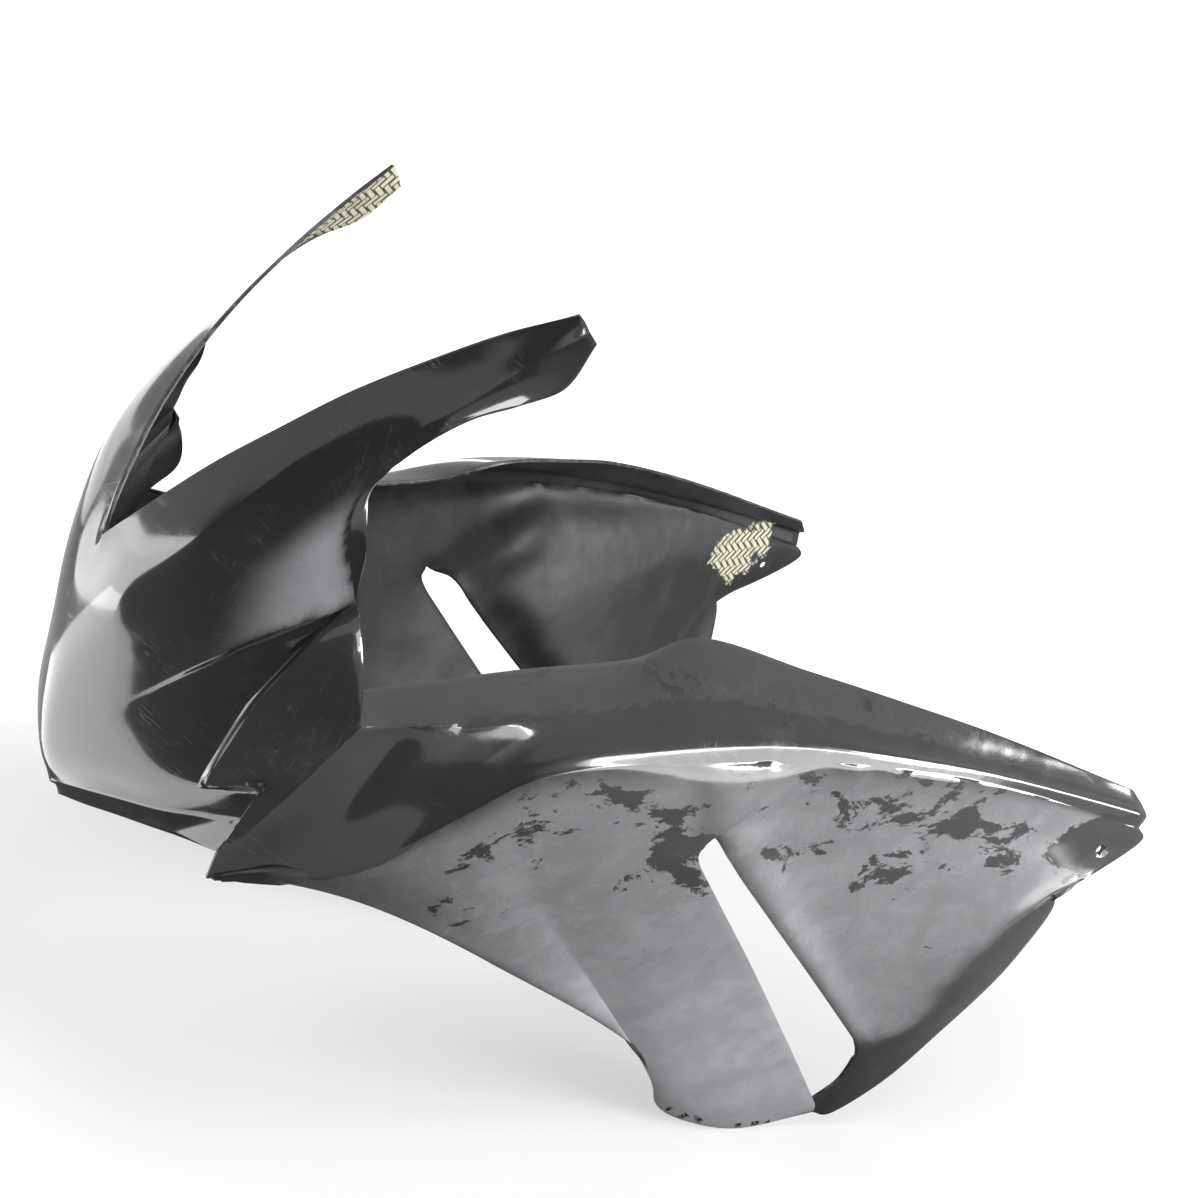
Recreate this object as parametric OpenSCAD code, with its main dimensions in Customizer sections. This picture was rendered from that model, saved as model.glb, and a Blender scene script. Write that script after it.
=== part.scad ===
// One-piece race fairing moulding for a sports motorcycle.
// Millimetres. +X is the nose, +Y is the rider's left, +Z is up as the piece sits on the bike.
// The skin is drawn for the left half by named guide lines, then mirrored about the middle plane.

/* [Overall size] */
// overall length, nose to rear tips
body_l = 939; // [700:5:1200]
// width over the rear tips
body_w = 498; // [380:2:640]
// height, lower flange to arm tips
body_h = 745; // [560:5:960]
// laminate thickness
wall = 3; // [2:0.5:6]

/* [Nose] */
// how far the middle of the nose stands in front of the chin's edge
nose_out = 35; // [15:5:60]
// height of the chin's edge in the middle, over the lower flange
chin_z = 289; // [274:1:304]
// height of the point of the screen cut, over the lower flange
screen_z = 498; // [478:1:518]

/* [Arms] */
// half distance between the arm tips
arm_y = 126; // [106:2:150]
// how far back the arm tips stand, from the middle of the body
arm_x = 197; // [170:1:220]
// width of the turned strip along the lower side of the arms
arm_strip = 10; // [6:1:18]

/* [Side panels] */
// how far the upper ledge turns in at the handlebar gap
ledge_in = 45; // [25:5:70]
// how far the side skin stands out from the cheek at the step
step_out = 8; // [4:1:14]
// depth of the recess behind the side slot
recess = 14; // [0:1:24]
// how far the front edge of the slot stands out past the rear edge
slot_gap = 12; // [4:1:20]

/* [Fixing holes] */
// bore radius of the rear tip holes
tip_r = 3.25; // [2:0.25:5]
// bore radius of the lower flange holes
flange_r = 3; // [2:0.25:4]
// bore radius of the small holes beside them
rivet_r = 1.6; // [1:0.1:2.5]

/* [Hidden] */

kx = body_l / 939;
ky = body_w / 498;
kz = body_h / 745;
low_z = -83;

// guide lines of the left half, [x, y, z], front to back or top to bottom
n_x = 388 + nose_out;
c_z = chin_z + low_z;
s_z = screen_z + low_z;
strip = arm_strip;

top_edge = [[419, 0, s_z], [412, 10, s_z + 18], [400, 23, 459], [380, 41, 496], [353, 59, 533],
    [321, 75, 570], [281, 92, 606], [240, 108, 638], [arm_x + 5, arm_y - 2, 662]];
arm_mid = [[n_x - 1, 0, 371], [420, 29, 400], [409, 49, 429], [390, 72, 467], [359, 83, 512],
    [319, 94, 556], [278, 105, 592], [237, 117, 628], [arm_x, arm_y, 658]];
shoulder = [[n_x, 0, 323], [418, 34, 357], [408, 58, 392], [388, 83, 436], [356, 102, 489],
    [309, 112, 542], [278, 118, 577], [241, 124, 611], [arm_x - 6, arm_y + 1, 652]];
cheek_mid = [[n_x - 1, 0, 297], [415, 33, 328], [402, 60, 358], [378, 85, 401], [350, 107, 450], [322, 121, 492]];
cheek_line = [[n_x - 3, 0, 275], [413, 31, 299], [400, 58, 322], [378, 86, 365], [346, 112, 410], [303, 132, 448]];
barb_line = [[n_x - 9, 0, c_z + 37], [406, 32, 258], [397, 56, 268], [384, 79, 275], [371, 95, 279],
    [359, 116 - step_out, 282]];
low_line = [[n_x - 15, 0, c_z + 22], [399, 34, 244], [385, 62, 254], [369, 90, 264], [348, 114, 279],
    [326, 143 - step_out, 298]];
chin_line = [[n_x - 25, 0, c_z + 10], [394, 34, 234], [382, 64, 246], [365, 94, 256], [347, 115, 265],
    [331, 139 - step_out, 272]];
chin_edge = [[n_x - 35, 0, c_z], [383, 28, 216], [374, 52, 224], [361, 78, 231], [347, 98, 235],
    [333, 132 - 1.6 * step_out, 238]];

// corner of the cheek, the fold and the skin's front edge
gap_top = cheek_line[5];
gap_low = [289, 165, 369];
front_tip = [344, 135, 227];
foot_top = [gap_top, [324, 128 - step_out, 401], [344, 120 - step_out, 353], barb_line[5]];
lead = [gap_top, [326, 127, 403], [344, 121, 360], [360, 116, 288], [331, 143, 309], [338, 141, 282],
    [345, 138, 254], front_tip];
fold = [gap_top, [286, 139, 407], gap_low, [306, 159, 334], [318, 154, 307], [327, 149, 282],
    [336, 142, 256], front_tip];

// inner line of the turned strip under the arm, tip to corner, then corner to gap
strip_a = [[arm_x - 12, arm_y + 5, 646], [203, 148 - strip, 615], [234, 146 - strip, 599],
    [260, 139 - strip, 584], [280, 134 - strip, 566], [301, 128 - strip, 538]];
strip_b = [strip_a[5], [310, 127 - strip, 519], [308, 132 - strip, 498], [306, 141 - strip, 475], gap_top];

// side panel, front to back
ledge_edge = [[270, 177 - ledge_in, 377], [209, 178 - ledge_in, 386], [135, 180 - ledge_in, 397],
    [46, 182 - ledge_in, 407], [-15, 183 - ledge_in, 427], [-106, 214 - ledge_in, 418],
    [-192, 239 - ledge_in, 407], [-319, 259 - ledge_in, 383], [-486, 279 - ledge_in, 342]];
ledge_line = [gap_low, [230, 174, 375], [162, 181, 387], [86, 186, 395], [12, 191, 404], [-85, 205, 402],
    [-180, 218, 390], [-311, 230, 369], [-502, 240, 329]];
crease = [front_tip, [257, 164, 242], [201, 187, 301], [141, 200, 349], [23, 211, 362], [-71, 218, 368],
    [-160, 227, 367], [-300, 238, 353], [-504, 245, 310]];
arch = [front_tip, [293, 142, 228], [200, 148, 205], [58, 150, 136], [-76, 146, 67], [-170, 134, 5],
    [-217, 121, -57], [-261, 130, -76], [-318, 139, low_z], [-391, 150, -66]];

// side slot: both edges leave the crease together and part at the slot's top
slot_top = [-33, 208, 288];
slot_up = [crease[4], [-5, 211, 327], slot_top];
slot_front = [slot_top, [-34, 207, 273], [-74, 202, 235], [-177, 187, 142], [-278, 170, 48],
    [-376, 154, -46], arch[9]];
slot_rear = [slot_top, [-72, 208 - slot_gap, 269], [-124, 204 - slot_gap, 228], [-261, 196 - slot_gap, 121],
    [-357, 178, 45]];
slot_low = [slot_rear[4], [-371, 176, 29], [-378, 173, 10], [-381, 167, -15], slot_front[5]];

// upper wall of the recess: where it leaves the slot and where it meets the crease, as shares of the panel
wall_start = 0.25;
wall_end = 0.32;

// rear tip and the turned strip below it
tip_mid = [-503, 247, 323];
notch = [-430, 249, 246];
rear_edge = [crease[8], [-516, 246, 296], [-479, 247, 270], notch];
rear_line = [slot_rear[4], [-380, 186, 47], [-393, 200, 70], [-388, 218, 131], [-401, 238, 205], notch];
rear_low = [notch, [-438, 247, 228], [-441, 240, 193], [-442, 226, 136], [-438, 203, 64], [-430, 179, -9],
    [-407, 159, -61], arch[9]];

// fixing holes: centre on the skin, and their radius
tip_hole = [-468, 247, 287];
middle = [-46.725, 0, 289.32];
flange_holes = [[-229, 123, -60, rivet_r], [-247, 127, -66, flange_r], [-265, 131, -70, rivet_r],
    [-312, 139, -77, rivet_r], [-329, 141, -76, flange_r], [-345, 143, -76, rivet_r]];

function cr(a, b, c, d, t) = 0.5 * ((2 * b) + (c - a) * t + (2 * a - 5 * b + 4 * c - d) * t * t
    + (3 * b - a - 3 * c + d) * t * t * t);
function at(p, s) =
    let (m = len(p) - 1, i = min(floor(s), m - 1), t = s - i,
        a = (i == 0) ? 2 * p[0] - p[1] : p[i - 1],
        d = (i + 2 > m) ? 2 * p[m] - p[m - 1] : p[i + 2])
    cr(a, p[i], p[i + 1], d, t);
function curve(p, n) = [for (k = [0 : n]) at(p, k * (len(p) - 1) / n)];
function poly(p, n) = [for (k = [0 : n])
    let (s = k * (len(p) - 1) / n, i = min(floor(s), len(p) - 2)) p[i] + (p[i + 1] - p[i]) * (s - i)];
function part_of(p, a, b) = [for (i = [a : b]) p[i]];
function rev(p) = [for (i = [len(p) - 1 : -1 : 0]) p[i]];
function join(a, b) = concat(a, [for (i = [1 : len(b) - 1]) b[i]]);
function col(g, j) = [for (r = g) r[j]];

// sheet through several lines that all have the same number of points
function skin(lines, n) =
    let (m = len(lines) - 1)
    [for (k = [0 : n * m]) [for (j = [0 : len(lines[0]) - 1]) at(col(lines, j), k / n)]];
// sheet inside four lines: top and bottom run front to back, left and right run down
function inside(top, low, left, right) =
    let (n = len(top) - 1, m = len(left) - 1)
    [for (k = [0 : m]) let (v = k / m) [for (j = [0 : n]) let (u = j / n)
        (k == 0) ? top[j] : (k == m) ? low[j] : (j == 0) ? left[k] : (j == n) ? right[k] :
        (1 - v) * top[j] + v * low[j] + (1 - u) * left[k] + u * right[k]
        - (1 - u) * (1 - v) * top[0] - u * (1 - v) * top[n] - (1 - u) * v * low[0] - u * v * low[n]]];
// soft step from 0 to 1
function soft(t) = let (c = min(1, max(0, t))) c * c * (3 - 2 * c);
// press a sheet inward by h with a flat floor: the upper wall leaves the slot's top and meets the crease
function dish(g, h) =
    let (m = len(g) - 1, n = len(g[0]) - 1)
    [for (k = [0 : m]) [for (j = [0 : n]) let (u = j / n, v = k / m, v0 = max(0, wall_start * (1 - u / wall_end)))
        g[k][j] - [0, h * soft((v - v0) / 0.2) * soft((1 - v) / 0.3) * soft(u / 0.15) * soft((1 - u) / 0.5), 0]]];
// push the middle of a sheet along y
function bulge(g, h, p, q) =
    let (m = len(g) - 1, n = len(g[0]) - 1)
    [for (k = [0 : m]) [for (j = [0 : n])
        g[k][j] + [0, h * pow(sin(180 * pow(k / m, p)), 1) * pow(sin(180 * pow(j / n, q)), 1), 0]]];

// nose and arms
l_top = curve(top_edge, 24);
l_sh = curve(shoulder, 24);
g_arm = skin([l_top, curve(arm_mid, 24), l_sh], 3);
l_cheek = curve(cheek_line, 15);
g_cheek = skin([part_of(l_sh, 0, 15), curve(cheek_mid, 15), l_cheek], 3);

// nose below the cheek line, down to the chin's free edge
l_barb = curve(barb_line, 15);
l_low = curve(low_line, 15);
l_chin = curve(chin_line, 15);
l_edge = curve(chin_edge, 15);
l_foot = poly(foot_top, 6);
g_nose = inside(l_cheek, l_barb, curve([cheek_line[0], [n_x - 5, 0, c_z + 54], barb_line[0]], 6), l_foot);
g_nose_b = skin([l_barb, l_low], 2);
g_nose_c = skin([l_low, l_chin], 2);
g_chin = skin([l_chin, l_edge], 2);

// step between the cheek and the side skin
l_lead = poly(lead, 14);
l_foot_all = join(join(join(l_foot, col(g_nose_b, 15)), col(g_nose_c, 15)), col(g_chin, 15));
l_fold = join(curve(part_of(fold, 0, 2), 4), curve(part_of(fold, 2, 7), 10));
g_step = [for (k = [0 : 12]) [l_foot_all[k], l_lead[k]]];
g_face = [for (k = [0 : 14]) [for (j = [0 : 4]) l_lead[k] + (l_fold[k] - l_lead[k]) * j / 4]];

// turned strip along the lower side of the arm
l_out = join(rev(part_of(l_sh, 15, 24)), col(g_cheek, 15));
l_in = join(curve(strip_a, 9), curve(strip_b, 6));
g_strip = [for (k = [0 : 15]) [for (j = [0 : 2]) l_out[k] + (l_in[k] - l_out[k]) * j / 2]];

// side panel
l_ledge = curve(ledge_line, 32);
l_crease = curve(crease, 32);
g_ledge = skin([curve(ledge_edge, 32), l_ledge], 2);
l_tip = curve([ledge_line[8], tip_mid, crease[8]], 10);
g_upper = inside(l_ledge, l_crease, part_of(l_fold, 4, 14), l_tip);
l_slot_up = curve(slot_up, 3);
l_slot_f = join(l_slot_up, join(curve(part_of(slot_front, 0, 5), 8), [slot_front[5], arch[9]]));
l_arch = curve(arch, 16);
l_front = [for (k = [0 : 12]) front_tip];
g_lower = bulge(inside(part_of(l_crease, 0, 16), l_arch, l_front, l_slot_f), -6, 0.6, 1);
l_rear_s = join(l_slot_up, curve(slot_rear, 9));
l_rear_line = curve(rear_line, 16);
g_rear = dish(inside(part_of(l_crease, 16, 32), l_rear_line, l_rear_s, curve(rear_edge, 12)), recess);
l_slot_low = curve(slot_low, 5);
l_up = join(rev(l_rear_line), l_slot_low);
l_rear_low = curve(rear_low, 21);
g_low = [for (k = [0 : 21]) [for (j = [0 : 3])
    (k == 21) ? (j == 0 ? l_up[21] : arch[9]) : l_up[k] + (l_rear_low[k] - l_up[k]) * j / 3]];

// every sheet of the left half, rows running down and points running back, seen from outside
grids = [g_arm, g_cheek, g_nose, g_nose_b, g_nose_c, g_chin, g_step, g_face, g_strip, g_ledge, g_upper,
    g_lower, g_rear, g_low];
// free edges, clockwise seen from outside: all round, then round the slot
rim_out = join(join(join(join(join(l_top, col(g_arm, 24)), g_strip[0]), l_in), part_of(l_fold, 0, 4)),
    join(join(join(rev(col(g_ledge, 0)), g_ledge[0]), join(col(g_ledge, 32), l_tip)),
    join(join(curve(rear_edge, 12), l_rear_low), join(rev(l_arch),
    join(rev(part_of(l_lead, 12, 14)), join([l_lead[12], l_foot_all[12]], rev(l_edge)))))));
rim_slot = join(part_of(l_slot_f, 3, 11), join(rev(l_slot_low), rev(part_of(l_rear_s, 3, 12))));

// the inside face lies one wall in from the outside face, toward the middle of the bike
front_x = 100;
rear_x = -350;
arm_z = 520;
arm_fade = 150;
function inward(p) =
    let (fx = min(1, max(0, (arm_z - p.z) / arm_fade)),
        x = (p.x > front_x) ? 0.8 * (front_x - p.x) * fx : (p.x < rear_x) ? 0.5 * (rear_x - p.x) : 0,
        z = (p.z > 250) ? min(0.9, 60 / (p.z - 250) + 0.3) * (250 - p.z) : 0.15 * (200 - min(200, p.z)),
        d = [x, -p.y, z]) d / norm(d);
function tidy(p, m) = [round(p.x * kx * 100) / 100, m * round(p.y * ky * 100) / 100, round(p.z * kz * 100) / 100];
function both(g, m) = [for (r = g) [for (p = r) tidy(p, m)]];
function offset_in(g, m) = [for (r = g) [for (p = r) tidy(p + 1.2 * wall * inward(p), m)]];
function same(a, b) = norm(a - b) < 0.005;
// two triangles for each cell, leaving out the ones without area
function cells(g, flip) = [for (k = [0 : len(g) - 2]) for (j = [0 : len(g[0]) - 2])
    for (t = [[g[k][j], g[k][j + 1], g[k + 1][j + 1]], [g[k][j], g[k + 1][j + 1], g[k + 1][j]]])
        if (!same(t[0], t[1]) && !same(t[1], t[2]) && !same(t[0], t[2])) flip ? [t[2], t[1], t[0]] : t];
function sheet(g, m) = concat(cells(both(g, m), m < 0), cells(offset_in(g, m), m > 0));
function rim(p, m) = cells([offset_in([p], m)[0], both([p], m)[0]], m < 0);
skin_faces = [for (m = [1, -1]) for (g = grids) for (t = sheet(g, m)) t];
rim_faces = [for (m = [1, -1]) for (p = [rim_out, rim_slot]) for (t = rim(p, m)) t];
faces_all = concat(skin_faces, rim_faces);

// round cutter along Y at a place given on the unstretched body
module drill(p, r) {
    translate([p.x * kx, p.y * ky, p.z * kz])
        rotate([90, 0, 0])
            cylinder(h = 60, r = r, center = true, $fn = 48);
}

// the whole moulding with its fixing holes, its middle at the origin
module fairing() {
    color([0.05, 0.05, 0.055])
    translate([-middle.x * kx, 0, -middle.z * kz])
    difference() {
        polyhedron(points = [for (t = faces_all) for (p = t) p],
            faces = [for (i = [0 : len(faces_all) - 1]) [3 * i, 3 * i + 1, 3 * i + 2]]);
        for (s = [1, -1]) {
            drill([tip_hole.x, s * tip_hole.y, tip_hole.z], tip_r);
            for (h = flange_holes)
                drill([h[0], s * h[1], h[2]], h[3]);
        }
    }
}

fairing();
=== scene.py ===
"""One-piece race fairing for a sports motorcycle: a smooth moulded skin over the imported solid."""
import math

import bmesh
import bpy
from mathutils import Matrix, Vector


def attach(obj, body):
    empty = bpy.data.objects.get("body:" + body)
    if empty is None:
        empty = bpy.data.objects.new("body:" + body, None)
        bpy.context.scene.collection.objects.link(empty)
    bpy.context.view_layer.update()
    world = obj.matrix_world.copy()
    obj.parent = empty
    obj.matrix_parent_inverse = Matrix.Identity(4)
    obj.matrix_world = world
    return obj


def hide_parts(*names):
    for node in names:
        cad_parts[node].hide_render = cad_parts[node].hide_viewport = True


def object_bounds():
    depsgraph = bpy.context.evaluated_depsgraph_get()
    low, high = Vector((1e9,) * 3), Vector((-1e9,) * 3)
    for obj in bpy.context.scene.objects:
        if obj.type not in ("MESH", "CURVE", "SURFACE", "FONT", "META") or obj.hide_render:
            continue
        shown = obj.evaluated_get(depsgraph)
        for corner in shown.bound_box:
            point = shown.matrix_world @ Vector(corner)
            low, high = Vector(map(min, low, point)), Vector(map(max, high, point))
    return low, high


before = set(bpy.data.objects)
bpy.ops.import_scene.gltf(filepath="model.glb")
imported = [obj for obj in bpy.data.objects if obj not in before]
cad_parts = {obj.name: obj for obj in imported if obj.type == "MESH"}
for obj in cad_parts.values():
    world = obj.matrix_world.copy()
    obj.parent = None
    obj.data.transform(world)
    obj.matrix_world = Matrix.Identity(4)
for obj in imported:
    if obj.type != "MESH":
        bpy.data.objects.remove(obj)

bl_info = {
    "name": "Race fairing",
    "version": (1, 0, 0),
    "blender": (4, 5, 0),
    "location": "3D View > Sidebar > Fairing",
    "description": "Builds a one-piece race fairing with its worn black finish and a studio",
    "category": "Object",
}

CAD_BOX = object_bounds()
MM = 0.001
MIDDLE = Vector((-0.046725, 0, 0.28932))  # place on the guide lines that the frame's origin stands for
SAME_PLACE = 0.00002  # vertices closer than this are one
KEY_STEPS = 20000  # steps in a metre, for finding a vertex again
EDGE_ROUND = 0.0008  # radius of the rounded cut edge
BEVEL_FROM = math.radians(62)  # edges sharper than this are rounded
SHARP_FROM = math.radians(42)  # edges sharper than this are shaded sharp
BORE_DEPTH, MOUTH_DEPTH = 0.06, 0.004
MOUTH_FLARE = 2.3  # how much wider a tip hole's mouth is than its bore
MOUTH_SINK = 0.0005  # how far inside the skin the middle of a mouth lies


# sizes and colours

class FairingShape(bpy.types.PropertyGroup):
    """Sizes of the moulded skin."""
    wall: bpy.props.FloatProperty(
        name="Wall", description="Thickness of the laminate", default=0.0028, unit="LENGTH")
    fine: bpy.props.IntProperty(
        name="Fineness", description="Cells that each step of the guide lines is cut into", default=4, min=1)
    ease: bpy.props.IntProperty(
        name="Easing", description="How often the soft joints between sheets are smoothed", default=40, min=0)
    recess: bpy.props.FloatProperty(
        name="Recess", description="Depth of the panel behind the side slot", default=0.014, unit="LENGTH")


class FairingFinish(bpy.types.PropertyGroup):
    """Colours of the finish."""
    gelcoat: bpy.props.FloatVectorProperty(
        name="Gelcoat", description="Colour of the black outside", subtype="COLOR", size=3,
        default=(0.012, 0.012, 0.013))
    # besides dust, this colour paints the sheen on the cheek and part of the pale highlight line on the cut
    # edges
    dust_and_sheen: bpy.props.FloatVectorProperty(
        name="Haze", description="Colour of dust and dull rubbed places", subtype="COLOR", size=3,
        default=(0.3, 0.3, 0.316))
    resin: bpy.props.FloatVectorProperty(
        name="Resin", description="Colour of the black inside", subtype="COLOR", size=3,
        default=(0.014, 0.015, 0.015))
    fibre: bpy.props.FloatVectorProperty(
        name="Fibre", description="Colour of the bare woven fibre", subtype="COLOR", size=3,
        default=(0.62, 0.59, 0.45))


class FairingStudio(bpy.types.PropertyGroup):
    """Levels of the light."""
    floor: bpy.props.FloatVectorProperty(
        name="Floor", description="Colour of the floor", subtype="COLOR", size=3, default=(0.5, 0.5, 0.5))
    sky: bpy.props.FloatProperty(name="Sky", description="Strength of the even light", default=0.4)
    front: bpy.props.FloatProperty(
        name="Front", description="Power of the soft box before the nose in watts", default=9.0)
    side: bpy.props.FloatProperty(
        name="Side", description="Power of the soft box beside the panel in watts", default=7.0)
    crease: bpy.props.FloatProperty(
        name="Crease", description="Power in watts of the thin lamp that draws the light line along the crease",
        default=2.5)
    rear: bpy.props.FloatProperty(
        name="Rear", description="Power of the soft box behind the side in watts", default=60.0)
    low: bpy.props.FloatProperty(
        name="Low", description="Power of the soft box over the floor in watts", default=9.0)
    far: bpy.props.FloatProperty(
        name="Far", description="Power of the soft box on the far side in watts", default=9.0)
    top: bpy.props.FloatProperty(
        name="Top", description="Power of the lamp overhead in watts", default=35.0)


# guide lines of the left half in millimetres, front to back or top to bottom, as in the solid

TOP_EDGE = [(419, 0, 415), (412, 10, 433), (400, 23, 459), (380, 41, 496), (353, 59, 533),
            (321, 75, 570), (281, 92, 606), (240, 108, 638), (202, 124, 662)]
ARM_MID = [(422, 0, 371), (420, 29, 400), (409, 49, 429), (390, 72, 467), (359, 83, 512),
           (319, 94, 556), (278, 105, 592), (237, 117, 628), (197, 126, 658)]
SHOULDER = [(423, 0, 323), (418, 34, 357), (408, 58, 392), (388, 83, 436), (356, 102, 489),
            (309, 112, 542), (278, 118, 577), (241, 124, 611), (191, 127, 652)]
CHEEK_MID = [(422, 0, 297), (415, 33, 328), (402, 60, 358), (378, 85, 401), (350, 107, 450), (322, 121, 492)]
CHEEK_LINE = [(420, 0, 275), (413, 31, 299), (400, 58, 322), (378, 86, 365), (346, 112, 410), (303, 132, 448)]
BARB_LINE = [(414, 0, 243), (406, 32, 258), (397, 56, 268), (384, 79, 275), (371, 95, 279), (359, 108, 282)]
LOW_LINE = [(408, 0, 228), (399, 34, 244), (385, 62, 254), (369, 90, 264), (348, 114, 279), (326, 135, 298)]
CHIN_LINE = [(398, 0, 216), (394, 34, 234), (382, 64, 246), (365, 94, 256), (347, 115, 265), (331, 131, 272)]
CHIN_EDGE = [(388, 0, 206), (383, 28, 216), (374, 52, 224), (361, 78, 231), (347, 98, 235), (333, 119, 238)]
NOSE_LOW = [CHEEK_LINE[0], (418, 0, 260), BARB_LINE[0]]

GAP_TOP = CHEEK_LINE[5]
GAP_LOW = (289, 165, 369)
FRONT_TIP = (344, 135, 227)
FOOT = [GAP_TOP, (324, 120, 401), (344, 112, 353), BARB_LINE[5]]
LEAD = [GAP_TOP, (326, 127, 403), (344, 121, 360), (360, 116, 288), (331, 143, 309), (338, 141, 282),
        (345, 138, 254), FRONT_TIP]
FOLD = [GAP_TOP, (286, 139, 407), GAP_LOW, (306, 159, 334), (318, 154, 307), (327, 149, 282),
        (336, 142, 256), FRONT_TIP]
STRIP_A = [(185, 131, 646), (203, 138, 615), (234, 136, 599), (260, 129, 584), (280, 124, 566), (301, 118, 538)]
STRIP_B = [STRIP_A[5], (310, 117, 519), (308, 122, 498), (306, 131, 475), GAP_TOP]

LEDGE_EDGE = [(270, 132, 377), (209, 133, 386), (135, 135, 397), (46, 137, 407), (-15, 138, 427),
              (-106, 169, 418), (-192, 194, 407), (-319, 214, 383), (-486, 234, 342)]
LEDGE_LINE = [GAP_LOW, (230, 174, 375), (162, 181, 387), (86, 186, 395), (12, 191, 404), (-85, 205, 402),
              (-180, 218, 390), (-311, 230, 369), (-502, 240, 329)]
CREASE = [FRONT_TIP, (257, 164, 242), (201, 187, 301), (141, 200, 349), (23, 211, 362), (-71, 218, 368),
          (-160, 227, 367), (-300, 238, 353), (-504, 245, 310)]
ARCH = [FRONT_TIP, (293, 142, 228), (200, 148, 205), (58, 150, 136), (-76, 146, 67), (-170, 134, 5),
        (-217, 121, -57), (-261, 130, -76), (-318, 139, -83), (-391, 150, -66)]
SLOT_TOP = (-33, 208, 288)
SLOT_UP = [CREASE[4], (-5, 211, 327), SLOT_TOP]
SLOT_FRONT = [SLOT_TOP, (-34, 207, 273), (-74, 202, 235), (-177, 187, 142), (-278, 170, 48), (-376, 154, -46)]
SLOT_REAR = [SLOT_TOP, (-72, 196, 269), (-124, 192, 228), (-261, 184, 121), (-357, 178, 45)]
SLOT_LOW = [SLOT_REAR[4], (-371, 176, 29), (-378, 173, 10), (-381, 167, -15), SLOT_FRONT[5]]
TIP_LINE = [LEDGE_LINE[8], (-503, 247, 323), CREASE[8]]
NOTCH = (-430, 249, 246)
REAR_EDGE = [CREASE[8], (-516, 246, 296), (-479, 247, 270), NOTCH]
REAR_LINE = [SLOT_REAR[4], (-380, 186, 47), (-393, 200, 70), (-388, 218, 131), (-401, 238, 205), NOTCH]
REAR_LOW = [NOTCH, (-438, 247, 228), (-441, 240, 193), (-442, 226, 136), (-438, 203, 64), (-430, 179, -9),
            (-407, 159, -61), ARCH[9]]

# lines that only presses follow
FOLD_DIP = [(262, 170, 362), (276, 164, 310), (300, 154, 250)]
SLOT_WALL = [(-150, 226, 358), (-95, 218, 325), (-33, 208, 288)]

# fixing holes: x, y, z and radius
TIP_HOLE = (-468, 247, 287, 3.25)
FLANGE_HOLES = [(-229, 123, -60, 1.6), (-247, 127, -66, 3.0), (-265, 131, -70, 1.6),
                (-312, 139, -77, 1.6), (-329, 141, -76, 3.0), (-345, 143, -76, 1.6)]


def at(line, s):
    """Point of the smooth curve through a line's points, s counted in points."""
    last = len(line) - 1
    i = min(int(s), last - 1)
    t = s - i
    b, c = Vector(line[i]), Vector(line[i + 1])
    a = Vector(line[i - 1]) if i else 2 * b - c
    d = Vector(line[i + 2]) if i + 2 <= last else 2 * c - b
    return 0.5 * (2 * b + (c - a) * t + (2 * a - 5 * b + 4 * c - d) * t * t + (3 * b - a - 3 * c + d) * t ** 3)


def curve(line, count):
    return [at(line, k * (len(line) - 1) / count) for k in range(count + 1)]


def straight(line, count):
    out = []
    for k in range(count + 1):
        s = k * (len(line) - 1) / count
        i = min(int(s), len(line) - 2)
        out.append(Vector(line[i]).lerp(Vector(line[i + 1]), s - i))
    return out


def column(rows, j):
    return [row[j] for row in rows]


def across(lines, count):
    """Rows through lines that all have the same number of points."""
    spans = len(lines) - 1
    return [[at(column(lines, j), k / count) for j in range(len(lines[0]))] for k in range(spans * count + 1)]


def inside(top, low, left, right):
    """Rows that fill the space inside four lines."""
    n, m = len(top) - 1, len(left) - 1
    rows = []
    for k in range(m + 1):
        v = k / m
        row = []
        for j in range(n + 1):
            u = j / n
            if k == 0:
                p = top[j]
            elif k == m:
                p = low[j]
            elif j == 0:
                p = left[k]
            elif j == n:
                p = right[k]
            else:
                p = ((1 - v) * top[j] + v * low[j] + (1 - u) * left[k] + u * right[k]
                     - (1 - u) * (1 - v) * top[0] - u * (1 - v) * top[n]
                     - (1 - u) * v * low[0] - u * v * low[n])
            row.append(p)
        rows.append(row)
    return rows


def ruled(left, right, count):
    return [[a.lerp(b, j / count) for j in range(count + 1)] for a, b in zip(left, right)]


def pushed(rows, depth, lean):
    """Pushes the middle of a sheet along Y; a lean under 1 puts the deepest place nearer to the first row."""
    m, n = len(rows) - 1, len(rows[0]) - 1
    out = []
    for k, row in enumerate(rows):
        reach = depth * math.sin(math.pi * (k / m) ** lean)
        out.append([p + Vector((0, reach * math.sin(math.pi * (j / n)), 0)) for j, p in enumerate(row)])
    return out


def soft(t):
    """Smooth rise from 0 to 1 while t goes from 0 to 1."""
    t = min(1, max(0, t))
    return t * t * (3 - 2 * t)


def gauss(t, centre, width):
    return math.exp(-((t - centre) / width) ** 2)


def dished(rows, depth):
    """Presses a sheet inward with a flat floor; the upper wall leaves the slot's top and meets the crease."""
    m, n = len(rows) - 1, len(rows[0]) - 1
    out = []
    for k in range(m + 1):
        v = k / m
        row = []
        for j in range(n + 1):
            u = j / n
            start = max(0, 0.25 * (1 - u / 0.32))
            wall = soft((v - start) / 0.11) * soft((1 - v) / 0.22)
            part = depth * wall * soft((u + 0.04) / 0.25) * soft((1 - u) / 0.5)
            lip = 3.0 * soft(u / 0.05) * (1 - soft((u - 0.05) / 0.2))
            lip = lip * soft((v - start) / 0.08) * soft((1 - v) / 0.1)
            row.append(rows[k][j] + Vector((0, lip - part, 0)))
        out.append(row)
    return out


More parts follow.
